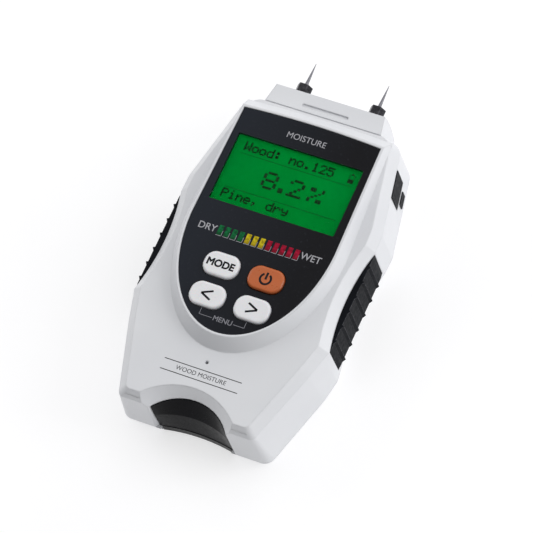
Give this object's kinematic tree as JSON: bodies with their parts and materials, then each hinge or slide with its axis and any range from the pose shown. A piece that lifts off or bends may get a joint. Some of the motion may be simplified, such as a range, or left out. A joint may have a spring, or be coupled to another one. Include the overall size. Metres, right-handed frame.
{
  "type": "moisture meter",
  "caption": "Handheld pin moisture meter with hourglass housing, shield-shaped display panel, key pad, rubber side grips and needle pins on a head block.",
  "frame": {"origin": "on the table, under the middle of the meter's box, with the meter lying on its back", "axes": "+Z out of the display face, +Y towards the pins, +X to the display's right"},
  "size_m": [0.082, 0.1524, 0.0322],
  "materials": {
    "white_shell": "satin",
    "dark_panel": "satin",
    "clear_lens": "polished",
    "green_display": "backlit green",
    "light_guide": "milky",
    "black_plastic": "satin",
    "bar_green": "clear",
    "bar_yellow": "clear",
    "bar_red": "clear",
    "key_white": "satin",
    "key_orange": "satin",
    "board": "solder mask",
    "battery_case": "printed sleeve",
    "nickel": "plated",
    "steel": "plain",
    "pin_steel": "polished",
    "black_nut": "blackened",
    "brass": "turned",
    "grip_rubber": "matt"
  },
  "bodies": {
    "housing": {"front_shell": "white_shell", "rear_shell": "white_shell", "head_block": "white_shell", "housing_screws": "steel", "fascia_panel": "dark_panel", "display_lens": "clear_lens", "display_glass": "green_display", "display_light": "light_guide", "display_frame": "black_plastic", "led_bars_green": "bar_green", "led_bars_yellow": "bar_yellow", "led_bars_red": "bar_red", "led_lamps": "light_guide", "circuit_board": "board", "key_switches": "steel", "board_chips": "black_plastic", "buzzer": "black_plastic", "battery": "battery_case", "battery_studs": "nickel", "battery_clip": "black_plastic", "battery_tray": "black_plastic", "pin_inserts": "brass", "measuring_pins": "pin_steel", "pin_nuts": "black_nut", "left_grip": "grip_rubber", "right_grip": "grip_rubber", "port_hinge_pin": "pin_steel", "port_strap": "grip_rubber", "data_socket": "nickel", "socket_tongue": "black_plastic"},
    "mode_key": {"mode_button": "key_white", "mode_button_plunger": "black_plastic"},
    "power_key": {"power_button": "key_orange", "power_button_plunger": "black_plastic"},
    "back_key": {"back_button": "key_white", "back_button_plunger": "black_plastic"},
    "next_key": {"next_button": "key_white", "next_button_plunger": "black_plastic"},
    "cover": {"battery_cover": "black_plastic"},
    "flap": {"port_flap": "grip_rubber"}
  },
  "joints": [
    {"name": "mode_press", "type": "slide", "parent": "housing", "child": "mode_key", "axis": [0, 0, -1], "range_m": [0, 0.0005], "stiffness_N_per_m": 600, "springref_m": -0.0004},
    {"name": "power_press", "type": "slide", "parent": "housing", "child": "power_key", "axis": [0, 0, -1], "range_m": [0, 0.0005], "stiffness_N_per_m": 600, "springref_m": -0.0004},
    {"name": "back_press", "type": "slide", "parent": "housing", "child": "back_key", "axis": [0, 0, -1], "range_m": [0, 0.0005], "stiffness_N_per_m": 600, "springref_m": -0.0004},
    {"name": "next_press", "type": "slide", "parent": "housing", "child": "next_key", "axis": [0, 0, -1], "range_m": [0, 0.0005], "stiffness_N_per_m": 600, "springref_m": -0.0004},
    {"name": "cover_slide", "type": "slide", "parent": "housing", "child": "cover", "axis": [0, -1, 0], "range_m": [0, 0.062]},
    {"name": "flap_hinge", "type": "hinge", "parent": "housing", "child": "flap", "pos_m": [0.03501, 0.03681, 0.0119], "axis": [-0.2079, 0.9782, 0], "range_deg": [0, 95]}
  ]
}
